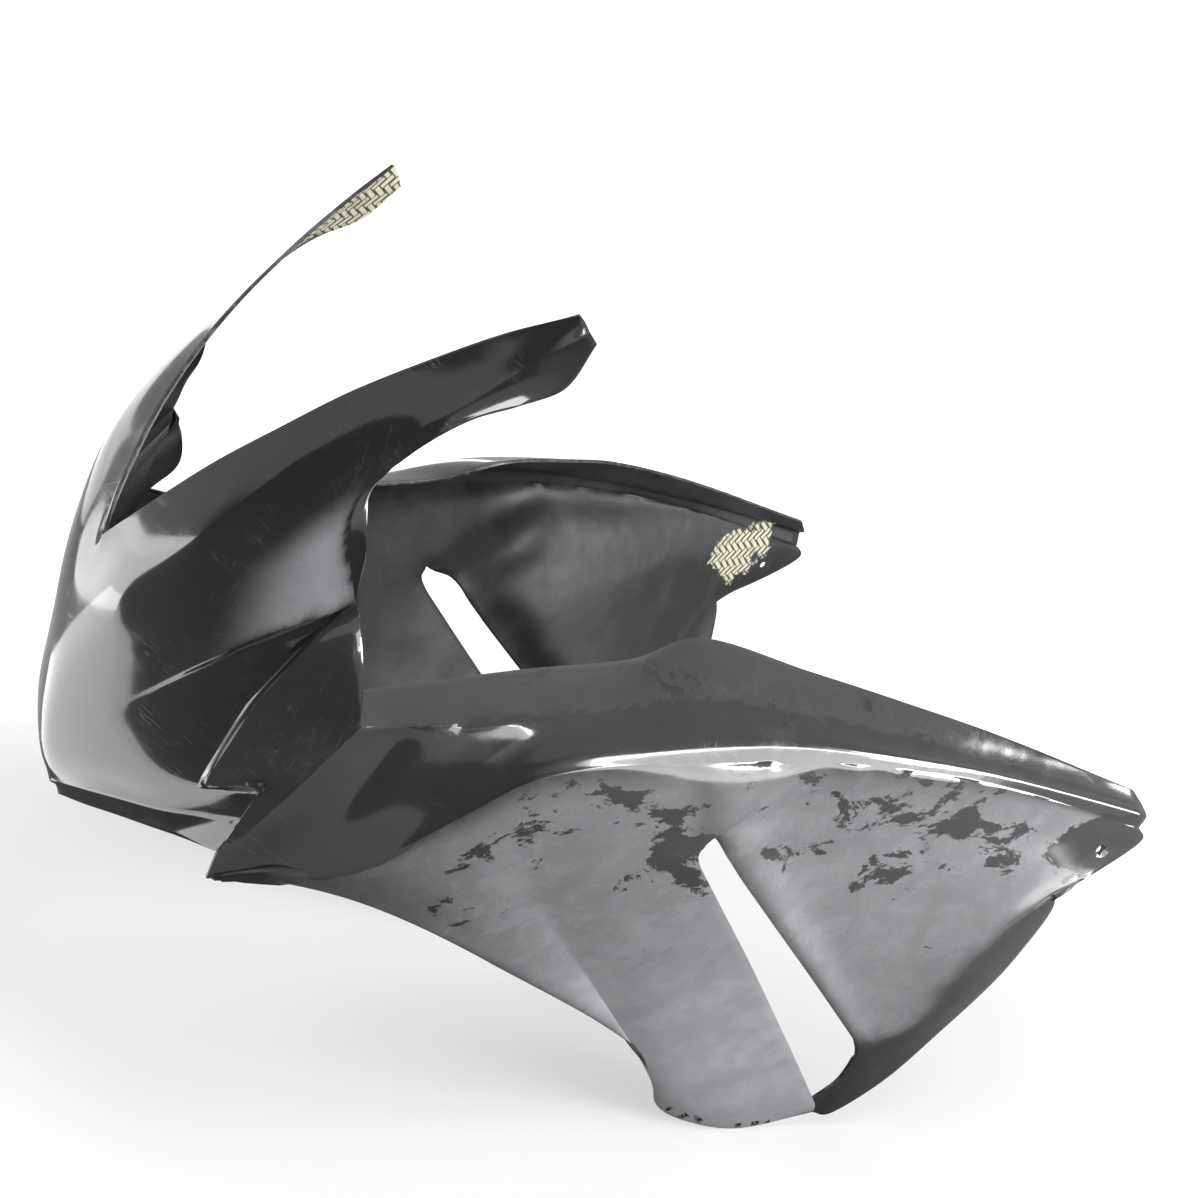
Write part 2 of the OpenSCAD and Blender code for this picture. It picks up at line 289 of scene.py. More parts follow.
def swollen(rows, height, first, last):
    """Swells the skin most at a twentieth of the way down, by a share that goes from first to last along it."""
    m, n = len(rows) - 1, len(rows[0]) - 1
    shares = [first + (last - first) * soft(j / n) for j in range(n + 1)]
    out = []
    for k, row in enumerate(rows):
        t = k / m / 0.05
        swell = height * t * math.exp(1 - t)
        out.append([p + Vector((0, swell * share, 0)) for p, share in zip(row, shares)])
    return out


def rolled(rows, height):
    """Lets the skin swell toward its last rows and then turn under to the edge."""
    m = len(rows) - 1
    out = []
    for k, row in enumerate(rows):
        v = k / m
        lift = height * soft((v - 0.7) / 0.22) * (1 - max(0, (v - 0.93) / 0.07) ** 2)
        out.append([p + Vector((0, lift * soft(j / (len(row) - 1) / 0.3), 0)) for j, p in enumerate(row)])
    return out


# the sheets that sheets() gives, in its order
ALL = range(14)
ARM, CHEEK, NOSE, JAW, JAW_LOW, CHIN, STEP, FACE, STRIP, LEDGE, UPPER, LOWER, REAR, STRIP_LOW = ALL


def sheets(shape):
    """Every sheet of the left half as rows of points; a line's step is cut into q cells."""
    q = shape.fine
    top, mid, shoulder = (curve(l, 24 * q) for l in (TOP_EDGE, ARM_MID, SHOULDER))
    arm = across([top, mid, shoulder], 3 * q)
    cheek_line = curve(CHEEK_LINE, 15 * q)
    cheek = across([shoulder[:15 * q + 1], curve(CHEEK_MID, 15 * q), cheek_line], 3 * q)
    barb_line, low_line, chin_line, chin_edge = (
        curve(l, 15 * q) for l in (BARB_LINE, LOW_LINE, CHIN_LINE, CHIN_EDGE))
    foot = straight(FOOT, 6 * q)
    nose = inside(cheek_line, barb_line, curve(NOSE_LOW, 6 * q), foot)
    jaw, jaw_low, chin = (across(pair, 2 * q) for pair in (
        [barb_line, low_line], [low_line, chin_line], [chin_line, chin_edge]))
    lead = straight(LEAD, 14 * q)
    foot_all = foot + column(jaw, -1)[1:] + column(jaw_low, -1)[1:] + column(chin, -1)[1:]
    fold = curve(FOLD[:3], 4 * q) + curve(FOLD[2:], 10 * q)[1:]
    step = ruled(foot_all, lead[:12 * q + 1], q)
    face = ruled(lead, fold, 4 * q)
    out = shoulder[15 * q:][::-1] + column(cheek, -1)[1:]
    strip_in = curve(STRIP_A, 9 * q) + curve(STRIP_B, 6 * q)[1:]
    strip = ruled(out, strip_in, 2 * q)
    ledge_line, crease = curve(LEDGE_LINE, 32 * q), curve(CREASE, 32 * q)
    ledge = across([curve(LEDGE_EDGE, 32 * q), ledge_line], 2 * q)
    upper = inside(ledge_line, crease, fold[4 * q:], curve(TIP_LINE, 10 * q))
    slot_up = curve(SLOT_UP, 3 * q)
    slot_f = slot_up + curve(SLOT_FRONT, 8 * q)[1:] + straight([SLOT_FRONT[5], ARCH[9]], q)[1:]
    lower = inside(crease[:16 * q + 1], curve(ARCH, 16 * q), [Vector(FRONT_TIP)] * (12 * q + 1), slot_f)
    lower = pushed(lower, -6, 0.6)
    lower = swollen(rolled(lower, 5), 4, 0, 1)
    rear_line = curve(REAR_LINE, 16 * q)
    slot_r = slot_up + curve(SLOT_REAR, 9 * q)[1:]
    rear = dished(inside(crease[16 * q:], rear_line, slot_r, curve(REAR_EDGE, 12 * q)), shape.recess / MM)
    rear = swollen(rear, 4, 1, 0.2)
    slot_low = curve(SLOT_LOW, 5 * q)
    up = rear_line[::-1] + slot_low[1:]
    strip_low = pushed(ruled(up, curve(REAR_LOW, 21 * q), 3 * q), 4, 1)
    end = straight([SLOT_FRONT[5], ARCH[9]], q)
    strip_low[-1] = [end[min(j, q)] for j in range(3 * q + 1)]
    return [arm, cheek, nose, jaw, jaw_low, chin, step, face, strip, ledge, upper, lower, rear, strip_low]


def hard_lines(rows):
    """Places that keep their crease, with the share of the easing that leaves each one alone."""
    arm, cheek, jaw_low, step, face, ledge, upper, rear, strip_low = (
        rows[sheet] for sheet in (ARM, CHEEK, JAW_LOW, STEP, FACE, LEDGE, UPPER, REAR, STRIP_LOW))
    q = (len(cheek[0]) - 1) // 15
    lines = [
        (arm[-1][15 * q - 2:], 1),
        (cheek[-1][7 * q:], 0.5), (cheek[-1][10 * q:], 0.9), (column(cheek, -1), 1),
        (column(step, 0), 1), (column(step, -1), 1),
        (column(face, 0), 1), (column(face, -1)[:12 * q], 0.8), (column(face, -1)[:9 * q], 1),
        (ledge[-1][:11 * q], 0.5), (ledge[-1][:8 * q], 0.8), (ledge[-1][:5 * q], 1),
        (upper[-1][2 * q:], 0.7), (upper[-1][3 * q:], 0.9), (upper[-1][5 * q:], 1),
        (rear[-1], 1), (column(strip_low, 0), 1), (jaw_low[-1], 1)]
    shares = {}
    for line, share in lines:
        for p in line:
            shares[key(p * MM)] = max(share, shares.get(key(p * MM), 0))
    return shares


def key(p):
    """A place as whole numbers, the same on both halves, to find a vertex again."""
    return round(p[0] * KEY_STEPS), round(abs(p[1]) * KEY_STEPS), round(p[2] * KEY_STEPS)


# share of rubbed finish on each sheet that has any; it varies on the two side panels, and the cheek carries a
# patch of painted sheen
DULL = {STEP: 0.02, FACE: 0.03, LEDGE: 0.09, UPPER: 0.02, REAR: 0.72, STRIP_LOW: 0.04}


def dull_and_sheen_share(sheet, u, v):
    """Share of rubbed finish at a place of a sheet, u along it and v down it, and of painted sheen on the
    cheek; the crease stays polished.
    """
    polished = gauss(v, 0, 0.05)
    if sheet == LOWER:
        rub = 0.12 + 0.5 * soft((u - 0.1) / 0.5) + 0.38 * soft((v - 0.35) / 0.5) * soft((u - 0.2) / 0.4)
        return rub * (1 - 0.7 * polished * soft((u - 0.3) / 0.3))
    # painted sheen: the lighter satin patch toward the opening stands in for the light caught by the cheek's
    # flare
    if sheet == CHEEK:
        return soft((u - 0.64) / 0.3) * soft((v - 0.1) / 0.45)
    if sheet == REAR:
        return DULL[REAR] * soft((u + 0.03) / 0.12) * (1 - 0.75 * polished)
    return DULL.get(sheet, 0.0)


def add_sheet(bm, rows, sheet, layer):
    """One grid, shaped to the rows of a sheet."""
    m, n = len(rows) - 1, len(rows[0]) - 1
    made = bmesh.ops.create_grid(bm, x_segments=n, y_segments=m, size=0.5)
    for vert in made["verts"]:
        j, k = round((vert.co.x + 0.5) * n), round((0.5 - vert.co.y) * m)
        vert.co = rows[k][j] * MM
        vert[layer] = dull_and_sheen_share(sheet, j / n, k / m)
        vert[bm.verts.layers.float["part"]] = sheet


def cheek_flare(t):
    return 8 * math.exp(-t / 24) * soft((58 - t) / 40) if t >= 0 else 0


def cheek_ridge(t):
    return 3 * gauss(t, -12, 6)


def fold_dip(t):
    return -3.5 * gauss(t, 0, 20)


def ledge_rounding(t):
    return -7 * gauss(t, 0, 17)


def crease_swelling(t):
    return 4.5 * -t / 14 * math.exp(1 + t / 14) if t < 0 else 0


def slot_wall(t):
    return -9 * soft(t / 16) * soft((58 - t) / 42)


# shapes pressed into the eased skin: line, height in mm as a function of the distance from it in mm, the way to
# its plus side, the shares of the line over which the strength comes up and goes down, and the sheets that move
UP, BACK, SLOT_WAY = (0, 0, 1), (-1, 0, 0), (-0.6, 0, -0.8)
NO_RISE, NO_FALL = (-1, 0), (2, 3)  # beyond the line's ends
PRESSES = (
    (CHEEK_LINE, cheek_flare, UP, (0.4, 1), NO_FALL, ALL),
    (CHEEK_LINE, cheek_ridge, UP, (0.75, 1), NO_FALL, ALL),
    (FOLD_DIP, fold_dip, BACK, NO_RISE, NO_FALL, ALL),
    (LEDGE_LINE, ledge_rounding, UP, (0.2, 0.4), (0.85, 1), (LEDGE, UPPER)),
    (CREASE, crease_swelling, UP, (0.42, 0.6), (0.8, 0.92), (LOWER, REAR)),
    (SLOT_WALL, slot_wall, SLOT_WAY, (-0.1, 0.5), NO_FALL, (REAR,)),
)
PRESS_REACH, ON_LINE = 60, 2  # mm; a press ends at the first, and sees no sides within the second
PRESS_STEPS = 80


def strength(along, rise, fall):
    """Comes up from 0 over rise and goes down again over fall, all counted in shares of a line."""
    risen = soft((along - rise[0]) / (rise[1] - rise[0]))
    return risen * (1 - soft((along - fall[0]) / (fall[1] - fall[0])))


def press(bm, line, profile, way, rise, fall, parts):
    """Moves the skin in and out beside a line."""
    bm.normal_update()
    part = bm.verts.layers.float["part"]
    marks = [p * MM for p in curve(line, PRESS_STEPS)]
    moves = []
    for vert in bm.verts:
        if round(vert[part]) not in parts:
            continue
        p = Vector((vert.co.x, abs(vert.co.y), vert.co.z))
        k = min(range(PRESS_STEPS + 1), key=lambda i: (marks[i] - p).length_squared)
        far = (marks[k] - p).length / MM
        if far < PRESS_REACH:
            side = 0 if far < ON_LINE else 1 if (p - marks[k]).dot(Vector(way)) > 0 else -1
            share = strength(k / PRESS_STEPS, rise, fall)
            moves.append((vert, vert.normal * profile(side * far) * share * MM))
    for vert, move in moves:
        vert.co += move


def ease(bm, verts):
    """One round of smoothing of some vertices."""
    bmesh.ops.smooth_vert(bm, verts=verts, factor=0.5, use_axis_x=True, use_axis_y=True, use_axis_z=True)


def mirrored(rows):
    """Both halves as one sheet with its faces outward."""
    bm = bmesh.new()
    bm.verts.layers.float.new("part")
    layer = bm.verts.layers.float.new("dull")
    for sheet, points in enumerate(rows):
        add_sheet(bm, points, sheet, layer)
    bmesh.ops.remove_doubles(bm, verts=bm.verts[:], dist=SAME_PLACE)
    bmesh.ops.dissolve_degenerate(bm, edges=bm.edges[:], dist=SAME_PLACE)
    bmesh.ops.mirror(bm, geom=bm.verts[:] + bm.edges[:] + bm.faces[:], matrix=Matrix.Identity(4),
                     merge_dist=SAME_PLACE, axis="Y")
    bmesh.ops.remove_doubles(bm, verts=bm.verts[:], dist=SAME_PLACE)
    bmesh.ops.recalc_face_normals(bm, faces=bm.faces[:])
    side = max(bm.faces, key=lambda f: f.calc_center_median().y)
    if side.normal.y < 0:
        bmesh.ops.reverse_faces(bm, faces=bm.faces[:])
    return bm


def blur_finish(bm, rounds):
    """Softens the borders of the rubbed finish and of the painted sheen on the cheek, but not across the main
    crease.
    """
    part, layer = bm.verts.layers.float["part"], bm.verts.layers.float["dull"]
    rubbed = [v for v in bm.verts if v[part] > UPPER or v[part] == CHEEK]
    for _ in range(rounds):
        means = [sum(e.other_vert(v)[layer] for e in v.link_edges) / len(v.link_edges) for v in rubbed]
        for vert, mean in zip(rubbed, means):
            vert[layer] = 0.5 * vert[layer] + 0.5 * mean


def skin_bmesh(shape):
    """The outside of the whole moulding as one eased and pressed sheet."""
    rows = sheets(shape)
    pinned = hard_lines(rows)
    bm = mirrored(rows)
    inner = [v for v in bm.verts if not v.is_boundary]
    held = [pinned.get(key(v.co), 0) for v in inner]
    for turn in range(shape.ease):
        ease(bm, [v for v, share in zip(inner, held) if share * shape.ease <= turn])
    for pressing in PRESSES:
        press(bm, *pressing)
    part = bm.verts.layers.float["part"]
    sides = [v for v, share in zip(inner, held) if share < 0.5 and v[part] > UPPER]
    for loose in (inner, sides, sides, sides):
        ease(bm, loose)
    blur_finish(bm, 6)
    bm.normal_update()
    return bm


def new_object(bm, name):
    """An object of the scene with the mesh."""
    mesh = bpy.data.meshes.new(name)
    bm.to_mesh(mesh)
    bm.free()
    ob = bpy.data.objects.new(name, mesh)
    bpy.context.scene.collection.objects.link(ob)
    return ob


def hole_tool(name, mouth, skin):
    """Cutters along Y: cylinders right through at all fixing holes, or cones that widen the tip holes."""
    bm = bmesh.new()
    for x, y, z, r in [TIP_HOLE] if mouth else [TIP_HOLE] + FLANGE_HOLES:
        near = min((v for v in skin if v.y > 0), key=lambda v: (v.x / MM - x) ** 2 + (v.z / MM - z) ** 2)
        middle = near.y - MOUTH_SINK if mouth else y * MM
        for side in (1, -1):
            turn = Matrix.Rotation(math.radians(90 * side), 4, "X")
            bmesh.ops.create_cone(
                bm, cap_ends=True, segments=40, radius1=(MOUTH_FLARE if mouth else 1) * r * MM, radius2=r * MM,
                depth=MOUTH_DEPTH if mouth else BORE_DEPTH,
                matrix=Matrix.Translation((x * MM, side * middle, z * MM)) @ turn)
    return new_object(bm, name)


# shader nodes as arithmetic

class Wire:
    """A socket that can be used in sums."""

    def __init__(self, net, socket):
        self.net, self.socket = net, socket

    def __add__(self, other):
        return self.net.math("ADD", self, other)

    def __sub__(self, other):
        return self.net.math("SUBTRACT", self, other)

    def __rsub__(self, other):
        return self.net.math("SUBTRACT", other, self)

    def __mul__(self, other):
        return self.net.math("MULTIPLY", self, other)

    def __truediv__(self, other):
        return self.net.math("DIVIDE", self, other)

    def __pow__(self, other):
        return self.net.math("POWER", self, other)

    def __abs__(self):
        return self.net.math("ABSOLUTE", self)

    __radd__ = __add__
    __rmul__ = __mul__

    def low(self, other):
        return self.net.math("MINIMUM", self, other)

    def high(self, other):
        return self.net.math("MAXIMUM", self, other)

    def sine(self):
        return self.net.math("SINE", self)

    def ramp(self, a, b, lo=0.0, hi=1.0):
        """Smooth rise from lo to hi while the value goes from a to b."""
        return self.net.node("ShaderNodeMapRange", {"Value": self, "From Min": a, "From Max": b, "To Min": lo,
                                                    "To Max": hi}, interpolation_type="SMOOTHSTEP")


class Net:
    """Builds the nodes of one tree."""

    def __init__(self, tree):
        self.tree = tree
        tree.nodes.clear()

    def node(self, kind, ins=None, out=0, **settings):
        made = self.tree.nodes.new(kind)
        for name, value in settings.items():
            setattr(made, name, value)
        for name, value in (ins or {}).items():
            self.feed(made.inputs[name], value)
        return Wire(self, made.outputs[out]) if made.outputs else made

    def feed(self, socket, value):
        if isinstance(value, Wire):
            self.tree.links.new(value.socket, socket)
        elif hasattr(value, "__len__") and len(value) == 3 and socket.type == "RGBA":
            socket.default_value = (*value, 1.0)
        else:
            socket.default_value = value

    def math(self, operation, *values):
        return self.node("ShaderNodeMath", dict(enumerate(values)), operation=operation)

    def mix(self, factor, a, b):
        return self.node("ShaderNodeMix", {0: factor, 6: a, 7: b}, out=2, data_type="RGBA")

    def place(self):
        """Object coordinates counted as on the guide lines."""
        coordinates = self.node("ShaderNodeTexCoord", out=3)
        return self.node("ShaderNodeVectorMath", {0: coordinates, 1: MIDDLE}, operation="ADD")

    def rays(self, *kinds):
        """Whether the ray is of each kind."""
        path = self.node("ShaderNodeLightPath").socket.node
        return [Wire(self, path.outputs[f"Is {kind} Ray"]) for kind in kinds]

    def scaled(self, vector, by):
        return self.node("ShaderNodeVectorMath", {0: vector, 1: by}, operation="MULTIPLY")

    def noise(self, vector, scale, detail=2.0, rough=0.5, warp=0.0):
        return self.node("ShaderNodeTexNoise", {"Vector": vector, "Scale": scale, "Detail": detail,
                                                "Roughness": rough, "Distortion": warp})

    def parts(self, vector):
        xyz = self.node("ShaderNodeSeparateXYZ", {0: vector}).socket.node
        return [Wire(self, s) for s in xyz.outputs]

    def scratches(self, vector, scale, stretch, turn, width):
        """Thin broken lines that run along the stretched axis."""
        turned = self.node("ShaderNodeVectorRotate", {"Vector": vector, "Angle": turn}, rotation_type="Y_AXIS")
        lines = self.noise(self.scaled(turned, stretch), scale, 1.0, 0.5, 0.3)
        return abs(lines - 0.5).ramp(0.0, width, 1.0, 0.0)


def new_material(name):
    mat = bpy.data.materials.new(name)
    mat.use_nodes = True
    return mat, Net(mat.node_tree)


def surface(net, settings):
    shader = net.node("ShaderNodeBsdfPrincipled", settings)
    net.node("ShaderNodeOutputMaterial", {"Surface": shader})


# places on the side panels where the gelcoat kept its gloss, as on the guide lines: x, z and half sizes
DARK_PLACES = ((0.03, 0.33, 0.07, 0.014), (0.1, 0.32, 0.05, 0.03), (0.01, 0.29, 0.05, 0.03),
               (-0.12, 0.325, 0.05, 0.012), (-0.2, 0.31, 0.045, 0.022), (-0.27, 0.295, 0.05, 0.03),
               (-0.25, 0.25, 0.035, 0.03), (-0.16, 0.27, 0.04, 0.015), (-0.34, 0.3, 0.05, 0.012),
               (-0.3, 0.21, 0.02, 0.02))
TIP_X, TIP_Z, TIP_WIDE, TIP_HIGH = -0.468, 0.29, 0.06, 0.034  # glossy zone round the tip hole
SPOTS_FROM, SPOTS_FULL = 0.585, 0.61  # noise levels between which a glossy spot begins
GELCOAT_IOR, RESIN_IOR = 1.65, 1.3
CLOTH_PITCH = 0.006
CLOTH_UP_FROM = 0.6  # height on the arms above which the cloth is bare
PATCH_X, PATCH_Z = -0.425, 0.303  # middle of the bare cloth inside a rear tip


def outside_material(finish):
    """Black gelcoat: glossy on the nose, rubbed with glossy spots on the sides, scratched by use; the cheek has
    a painted sheen.
    """
    mat, net = new_material("gelcoat")
    p = net.place()
    x, y, z = net.parts(p)
    # share of rubbed finish, and on the cheek of painted sheen
    dull = net.node("ShaderNodeAttribute", out=2, attribute_name="dull")
    cloud = net.noise(p, 7.0, 4.0, 0.6)
    fine = net.noise(p, 60.0, 5.0, 0.65)
    blotch = net.noise(p, 22.0, 3.0, 0.55, 0.6)
    brushed = net.noise(net.scaled(p, (1.0, 1.0, 1.5)), 15.0, 8.0, 0.7, 0.35)
    kept = 0.0
    for place_x, place_z, wide, high in DARK_PLACES:
        off = ((x - place_x) / wide) ** 2 + ((z - place_z) / high) ** 2
        kept = off.ramp(0.2, 1.6, 0.075, 0.0) + kept
    spots = (brushed + (cloud - 0.5) * 0.2 + kept + z.ramp(0.1, 0.27, -0.14, 0.0)).ramp(SPOTS_FROM, SPOTS_FULL)
    tip = (((x - TIP_X) / TIP_WIDE) ** 2 + ((z - TIP_Z) / TIP_HIGH) ** 2) ** 0.5 + (brushed - 0.5) * 1.6
    tip = tip.ramp(0.95, 1.02, 1.0, 0.0)
    spots = spots.high(tip) * x.ramp(0.22, 0.28, 1.0, 0.0)
    satin_and_sheen = dull * (1.0 - spots * 0.93) * cloud.ramp(0.25, 0.5, 0.85, 1.0) * blotch.ramp(0.3, 0.7, 0.85, 1.0)
    rubbed = (cloud * 0.6 + fine * 0.4).ramp(0.5, 0.66) * blotch.ramp(0.42, 0.62)
    lines = net.scratches(p, 16.0, (1.0, 1.0, 26.0), 0.5, 0.01) * blotch.ramp(0.52, 0.62)
    cross = net.scratches(p, 13.0, (24.0, 1.0, 1.0), 0.25, 0.008) * cloud.ramp(0.52, 0.6)
    marks = (lines + cross).low(1.0)
    specks = net.noise(p, 900.0, 2.0, 0.6).ramp(0.7, 0.76) * fine.ramp(0.45, 0.6)
    worn_and_sheen = (satin_and_sheen + rubbed * 0.05 + marks * 0.1 + specks * 0.18).low(1.0)
    # the haze colour here paints dust on rubbed places and also the painted sheen on the cheek
    colour = net.mix(worn_and_sheen * fine.ramp(0.3, 0.7, 0.88, 1.0), finish.gelcoat, finish.dust_and_sheen)
    rough = 0.08 + satin_and_sheen * 0.26 + rubbed * 0.1 + marks * 0.1 + fine.ramp(0.3, 0.75) * 0.05
    height = net.noise(p, 11.0, 2.0) * 0.0012 + net.noise(p, 38.0, 2.0) * 0.00012 - marks * 0.00002
    bump = net.node("ShaderNodeBump", {"Height": height, "Strength": 0.6, "Distance": 1.0})
    surface(net, {"Base Color": colour, "Roughness": rough, "Normal": bump, "IOR": GELCOAT_IOR,
                  "Coat Weight": (0.35 - satin_and_sheen * 0.3) * (1.0 - tip), "Coat Roughness": 0.05})
    return mat


def inside_material(finish):
    """Black resin over woven cloth, with bare cloth at the tips."""
    mat, net = new_material("laminate")
    p = net.place()
    x, y, z = net.parts(p)
    cloud = net.noise(p, 13.0, 4.0, 0.6)
    fine = net.noise(p, 70.0, 4.0, 0.6)
    warp = net.noise(p, 9.0) * 1.5
    a = (x * 0.8 + z * 0.6) / CLOTH_PITCH + warp
    b = (z * 0.8 - x * 0.6 + y * 0.3) / CLOTH_PITCH + warp
    floor_a, floor_b = net.math("FLOOR", a), net.math("FLOOR", b)
    turn = net.math("FLOORED_MODULO", floor_a + floor_b, 4.0).ramp(1.4, 1.6)
    over_a, over_b = ((a - floor_a) * math.pi).sine(), ((b - floor_b) * math.pi).sine()
    strand = over_a * (1.0 - turn) + over_b * turn
    edge = (cloud - 0.5) * 0.12 + (fine - 0.5) * 0.05
    tips = (z + edge).ramp(CLOTH_UP_FROM, CLOTH_UP_FROM + 0.015)
    patch_x, patch_z = (x - PATCH_X) * 0.8, z - PATCH_Z
    patch = ((patch_x * patch_x + patch_z * patch_z) ** 0.5 + edge * 0.6).ramp(0.028, 0.033, 1.0, 0.0)
    bare = (tips * 0.9 + patch).low(1.0)
    cloth = net.mix(strand.ramp(0.35, 0.8), (0.06, 0.06, 0.035), finish.fibre)
    cloth = net.mix(fine.ramp(0.5, 0.7) * 0.6, cloth, (0.16, 0.16, 0.12))
    black = net.mix(cloud.ramp(0.46, 0.62) * 0.05 + fine.ramp(0.55, 0.8) * 0.02, finish.resin, finish.dust_and_sheen)
    colour = net.mix(bare, black, cloth)
    rough = 0.36 + cloud.ramp(0.35, 0.7) * 0.14 + bare * 0.25
    height = strand * 0.00012 * (0.25 + bare) + fine * 0.0003 + net.noise(p, 24.0, 2.0) * 0.0014
    bump = net.node("ShaderNodeBump", {"Height": height, "Strength": 0.7, "Distance": 1.0})
    surface(net, {"Base Color": colour, "Roughness": rough, "Normal": bump, "IOR": RESIN_IOR})
    return mat


def rim_material(finish):
    """Cut edge of the laminate, ground and a little paler; the paleness is partly a painted highlight line
    along the edges.
    """
    mat, net = new_material("cut_edge")
    p = net.place()
    # paler ground edge, partly a painted highlight line along the cut edges
    worn_and_sheen = net.noise(p, 120.0, 4.0, 0.6).ramp(0.45, 0.7)
    colour = net.mix(worn_and_sheen * 0.3, finish.resin, finish.dust_and_sheen)
    surface(net, {"Base Color": colour, "Roughness": 0.35 + worn_and_sheen * 0.2})
    return mat


class FAIRING_OT_skin(bpy.types.Operator):
    """Builds the moulded skin with its holes and its finish."""
    bl_idname = "fairing.skin"
    bl_label = "Build skin"

    def execute(self, context):
        shape, finish = context.scene.fairing_shape, context.scene.fairing_finish
        bm = skin_bmesh(shape)
        skin = [v.co.copy() for v in bm.verts]
        ob = new_object(bm, "skin")
        for mat in (outside_material(finish), inside_material(finish), rim_material(finish)):
            ob.data.materials.append(mat)
        solid = ob.modifiers.new("wall", "SOLIDIFY")
        solid.thickness, solid.offset = shape.wall, -1.0
        solid.material_offset, solid.material_offset_rim = 1, 2
        round_off = ob.modifiers.new("edges", "BEVEL")
        round_off.width, round_off.segments, round_off.limit_method = EDGE_ROUND, 2, "ANGLE"
        round_off.angle_limit = BEVEL_FROM
        tools = [hole_tool("bores", False, skin), hole_tool("mouths", True, skin)]
        for tool in tools:
            drill = ob.modifiers.new(tool.name, "BOOLEAN")
            drill.operation, drill.solver, drill.object = "DIFFERENCE", "EXACT", tool
        context.view_layer.update()
        done = bpy.data.meshes.new_from_object(ob.evaluated_get(context.evaluated_depsgraph_get()))
        ob.modifiers.clear()
        done.transform(Matrix.Translation(-MIDDLE))
        ob.data = done
        for tool in tools:
            bpy.data.objects.remove(tool)
        done.shade_smooth()
        done.set_sharp_from_angle(angle=SHARP_FROM)
        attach(ob, "root")
        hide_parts("fairing")
        return {"FINISHED"}


# studio; places as on the guide lines
HEART = (0, 0, 0.25)
LAMPS = (  # name, place, aim, width and height
    ("front", (1.15, -0.45, 0.22), HEART, 1.0, 0.6),
    ("low", (0.88, -0.1, -0.02), (0.87, -0.1, 1.0), 1.0, 0.9),
    ("far", (0.15, -1.45, 0.3), (0.2, 0, 0.4), 2.0, 0.6),
    ("side", (-0.72, 1.2, 0.2), HEART, 0.85, 0.55),
    ("crease", (-0.7, 1.26, 0.46), (-0.05, 0.22, 0.36), 0.6, 0.07),
    ("rear", (-2.2, 1.9, 0.6), HEART, 1.0, 1.0),
    ("top", (0.75, 1.15, 2.6), HEART, 1.1, 1.1),
)
FLOOR_HALF, FLOOR_GAP = 14.0, 0.001
CARD_PLACE, CARD_WIDE, CARD_HIGH = Vector((0.76, 0.73, 0.667)), 1.9, 1.6
CARD_TURN = (math.radians(-22), 0, math.radians(-46))
CARD_COLOUR = (0.12, 0.12, 0.12)
DIM_WAY = (0.62, 0.62, 0.48)  # where the glossy finish sees a darker wall
LENS, SENSOR = 75.0, 36.0
CAMERA_PLACE = Vector((1.25803, 1.30150, 1.11749))
CAMERA_AXES = ((-0.755554, 0.552276, 0.352321), (0.025555, -0.512565, 0.858268), (0.654588, 0.657471, 0.373157))


def sheet_object(name, half, turn=0.0):
    """A flat square, turned about X, with its empty material."""
    bm = bmesh.new()
    bmesh.ops.create_grid(bm, x_segments=1, y_segments=1, size=half, matrix=Matrix.Rotation(turn, 4, "X"))
    ob = new_object(bm, name)
    mat, net = new_material(name)
    ob.data.materials.append(mat)
    return ob, net


def set_floor(studio):
    """Pale floor that keeps the shadow near the part and goes white away from it; in reflections it is painted
    dark near the part, a painted shade for the floor under it.
    """
    floor, net = sheet_object("floor", FLOOR_HALF)
    floor.location = (-MIDDLE.x, 0, CAD_BOX[0][2] - FLOOR_GAP)
    seen, glossy, through = net.rays("Camera", "Glossy", "Transmission")
    x, y, z = net.parts(net.node("ShaderNodeTexCoord", out=3))
    away = ((x / 0.5) ** 2 + (y / 0.3) ** 2) ** 0.5
    # in reflections the floor has no glow near the part: painted shade under it
    plain = (glossy * away.ramp(0.8, 1.5)).high(seen).high(through)
    diffuse = net.node("ShaderNodeBsdfDiffuse", {"Color": studio.floor})
    white = plain * away.ramp(1.4, 3.2, 0.42, 1.0)
    glow = net.node("ShaderNodeEmission", {"Color": (1, 1, 1), "Strength": white})
    lit = net.node("ShaderNodeAddShader", {0: diffuse, 1: glow})
    dark = net.node("ShaderNodeBsdfDiffuse", {"Color": (0.0, 0.0, 0.0)})
    # share of black in the floor's reflections, largest near the part: painted shade
    reflected_floor_shade = glossy * away.ramp(0.8, 2.0, 0.85, 0.6)
    mixed = net.node("ShaderNodeMixShader", {0: reflected_floor_shade, 1: lit, 2: dark})
    net.node("ShaderNodeOutputMaterial", {"Surface": mixed})
    return floor


def set_card():
    """Dark card that only the glossy finish sees."""
    card, net = sheet_object("dark_card", 0.5, math.radians(90))
    card.scale, card.location, card.rotation_euler = (CARD_WIDE, 1.0, CARD_HIGH), CARD_PLACE - MIDDLE, CARD_TURN
    net.node("ShaderNodeOutputMaterial", {"Surface": net.node("ShaderNodeBsdfDiffuse", {"Color": CARD_COLOUR})})
    card.visible_camera = card.visible_diffuse = card.visible_shadow = card.visible_transmission = False
    return card


